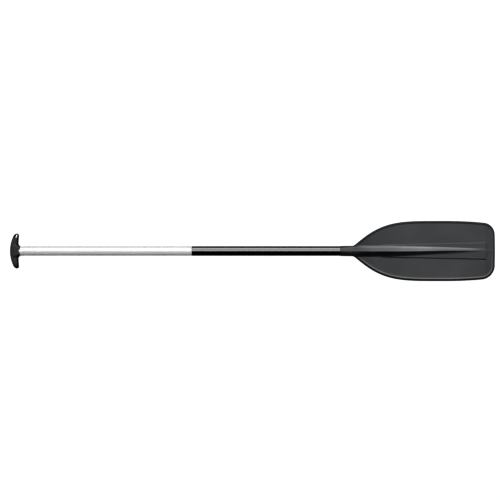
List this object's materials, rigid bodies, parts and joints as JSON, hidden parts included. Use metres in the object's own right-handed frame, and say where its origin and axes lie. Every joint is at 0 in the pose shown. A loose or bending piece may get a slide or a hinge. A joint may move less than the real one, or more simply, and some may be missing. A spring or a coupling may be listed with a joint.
{
  "type": "canoe paddle",
  "caption": "One-piece paddle with a T-shaped palm grip, a metal tube shaft partly covered by a shrunk plastic sleeve, and a broad ribbed plastic blade.",
  "frame": {"origin": "middle of the footprint of the paddle as it lies flat, at the level of the surface it lies on", "axes": "+X along the shaft from the grip to the blade tip, +Y across the blade, +Z out of the blade's upper face"},
  "size_m": [1.5, 0.1854, 0.0312],
  "materials": {
    "grip_plastic": "satin moulded polypropylene",
    "tube_alloy": "clear-anodised, drawn",
    "sleeve_plastic": "glossy shrunk plastic",
    "blade_plastic": "finely textured moulded polypropylene",
    "glue": "cured epoxy",
    "foam": "closed-cell foam"
  },
  "bodies": {
    "root": {"t_grip": "grip_plastic", "shaft_tube": "tube_alloy", "shaft_sleeve": "sleeve_plastic", "blade": "blade_plastic", "grip_glue_film": "glue", "blade_glue_film": "glue", "grip_float_plug": "foam", "blade_float_plug": "foam"}
  },
  "joints": []
}
